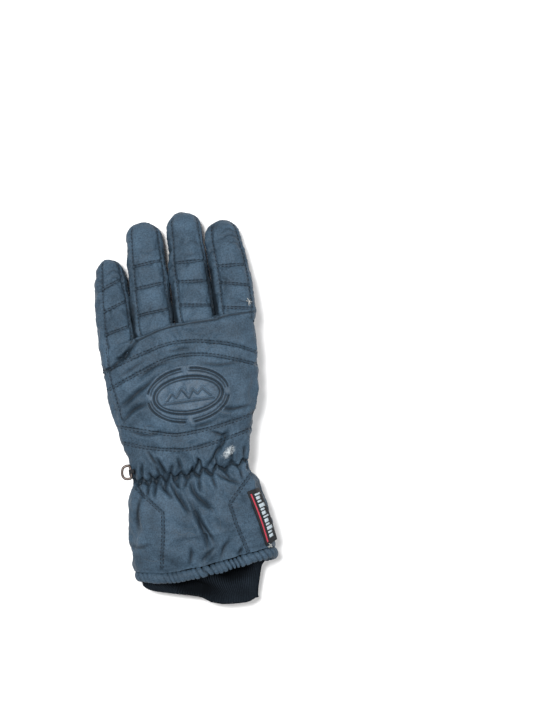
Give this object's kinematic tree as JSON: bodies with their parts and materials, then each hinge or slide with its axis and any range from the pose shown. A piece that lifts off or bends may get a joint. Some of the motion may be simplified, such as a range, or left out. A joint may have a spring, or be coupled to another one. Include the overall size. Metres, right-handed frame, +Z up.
{
  "type": "ski glove",
  "caption": "Insulated left-hand ski glove lying palm down, with quilted finger stalls, a tucked thumb, a flared gauntlet with a gathered hem, and a rib-knit inner cuff.",
  "frame": {"origin": "on the surface the glove lies on, under the middle of its outline", "axes": "+Y along the fingers, +Z up out of the back of the hand, +X towards the index finger and thumb"},
  "size_m": [0.125, 0.3081, 0.0522],
  "materials": {
    "shell_nylon": "woven, matt, slate blue",
    "hem_nylon": "woven, gathered",
    "palm_hide": "synthetic hide, fine grain",
    "patch_hide": "synthetic hide, coarse grain",
    "badge_film": "pressed film over cloth",
    "wadding": "soft batting",
    "fleece_lining": "brushed fleece",
    "elastic": "woven elastic",
    "rib_knit": "one by one rib knit",
    "label_tape": "woven tape",
    "black_tape": "woven tape",
    "hook_wire": "plated spring wire"
  },
  "bodies": {
    "hand": {"hand_wrist_panel": "shell_nylon", "hand_back_panel": "shell_nylon", "hand_knuckle_panel": "shell_nylon", "palm_panel": "palm_hide", "hand_wadding": "wadding", "hand_lining": "fleece_lining", "palm_patch": "patch_hide", "oval_badge": "badge_film", "hook_tape": "black_tape"},
    "gauntlet": {"gauntlet_left_panel": "shell_nylon", "gauntlet_back_panel": "shell_nylon", "gauntlet_right_panel": "shell_nylon", "gauntlet_palm_panel": "palm_hide", "wrist_elastic": "elastic", "gauntlet_wadding": "wadding", "gauntlet_lining": "fleece_lining", "hem_binding": "hem_nylon", "hem_elastic": "elastic", "woven_label": "label_tape", "knit_cuff": "rib_knit"},
    "index": {"index_back": "shell_nylon", "index_fourchettes": "shell_nylon", "index_palm": "palm_hide", "index_wadding": "wadding", "index_lining": "fleece_lining"},
    "index_tip": {"index_tip_shell": "shell_nylon", "index_tip_wadding": "wadding", "index_tip_lining": "fleece_lining"},
    "middle": {"middle_back": "shell_nylon", "middle_fourchettes": "shell_nylon", "middle_palm": "palm_hide", "middle_wadding": "wadding", "middle_lining": "fleece_lining"},
    "middle_tip": {"middle_tip_shell": "shell_nylon", "middle_tip_wadding": "wadding", "middle_tip_lining": "fleece_lining"},
    "ring": {"ring_back": "shell_nylon", "ring_fourchettes": "shell_nylon", "ring_palm": "palm_hide", "ring_wadding": "wadding", "ring_lining": "fleece_lining"},
    "ring_tip": {"ring_tip_shell": "shell_nylon", "ring_tip_wadding": "wadding", "ring_tip_lining": "fleece_lining"},
    "pinky": {"pinky_back": "shell_nylon", "pinky_fourchettes": "shell_nylon", "pinky_palm": "palm_hide", "pinky_wadding": "wadding", "pinky_lining": "fleece_lining"},
    "pinky_tip": {"pinky_tip_shell": "shell_nylon", "pinky_tip_wadding": "wadding", "pinky_tip_lining": "fleece_lining"},
    "thumb": {"thumb_shell": "shell_nylon", "thumb_wadding": "wadding", "thumb_lining": "fleece_lining"},
    "thumb_tip": {"thumb_tip_shell": "shell_nylon", "thumb_tip_wadding": "wadding", "thumb_tip_lining": "fleece_lining"},
    "hook": {"pair_hook": "hook_wire"}
  },
  "joints": [
    {"name": "wrist_bend", "type": "hinge", "parent": "hand", "child": "gauntlet", "pos_m": [0, -0.049, 0.0364], "axis": [1, 0, 0], "range_deg": [-30, 30]},
    {"name": "index_curl", "type": "hinge", "parent": "hand", "child": "index", "pos_m": [0.0463, 0.0685, 0.0339], "axis": [-1, 0, 0], "range_deg": [-15, 50]},
    {"name": "index_fold", "type": "hinge", "parent": "index", "child": "index_tip", "pos_m": [0.0463, 0.09462, 0.02381], "axis": [-1, 0, 0], "range_deg": [0, 70]},
    {"name": "middle_curl", "type": "hinge", "parent": "hand", "child": "middle", "pos_m": [0.0148, 0.066, 0.0339], "axis": [-1, 0, 0], "range_deg": [-15, 50]},
    {"name": "middle_fold", "type": "hinge", "parent": "middle", "child": "middle_tip", "pos_m": [0.0148, 0.09845, 0.02376], "axis": [-1, 0, 0], "range_deg": [0, 70]},
    {"name": "ring_curl", "type": "hinge", "parent": "hand", "child": "ring", "pos_m": [-0.017, 0.063, 0.0339], "axis": [-1, 0, 0], "range_deg": [-15, 50]},
    {"name": "ring_fold", "type": "hinge", "parent": "ring", "child": "ring_tip", "pos_m": [-0.017, 0.09827, 0.02272], "axis": [-1, 0, 0], "range_deg": [0, 70]},
    {"name": "pinky_curl", "type": "hinge", "parent": "hand", "child": "pinky", "pos_m": [-0.0473, 0.056, 0.0339], "axis": [-1, 0, 0], "range_deg": [-15, 50]},
    {"name": "pinky_fold", "type": "hinge", "parent": "pinky", "child": "pinky_tip", "pos_m": [-0.0473, 0.08544, 0.02137], "axis": [-1, 0, 0], "range_deg": [0, 70]},
    {"name": "thumb_swing", "type": "hinge", "parent": "hand", "child": "thumb", "pos_m": [0.037, -0.014, 0.01], "axis": [0, 0, -1], "range_deg": [-8, 65]},
    {"name": "thumb_fold", "type": "hinge", "parent": "thumb", "child": "thumb_tip", "pos_m": [0.02202, 0.0154, 0.01], "axis": [0, 0, 1], "range_deg": [0, 45]},
    {"name": "hook_swing", "type": "hinge", "parent": "hand", "child": "hook", "pos_m": [-0.05264, -0.04, 0.0424], "axis": [0, 1, 0], "range_deg": [-75, 75]}
  ]
}
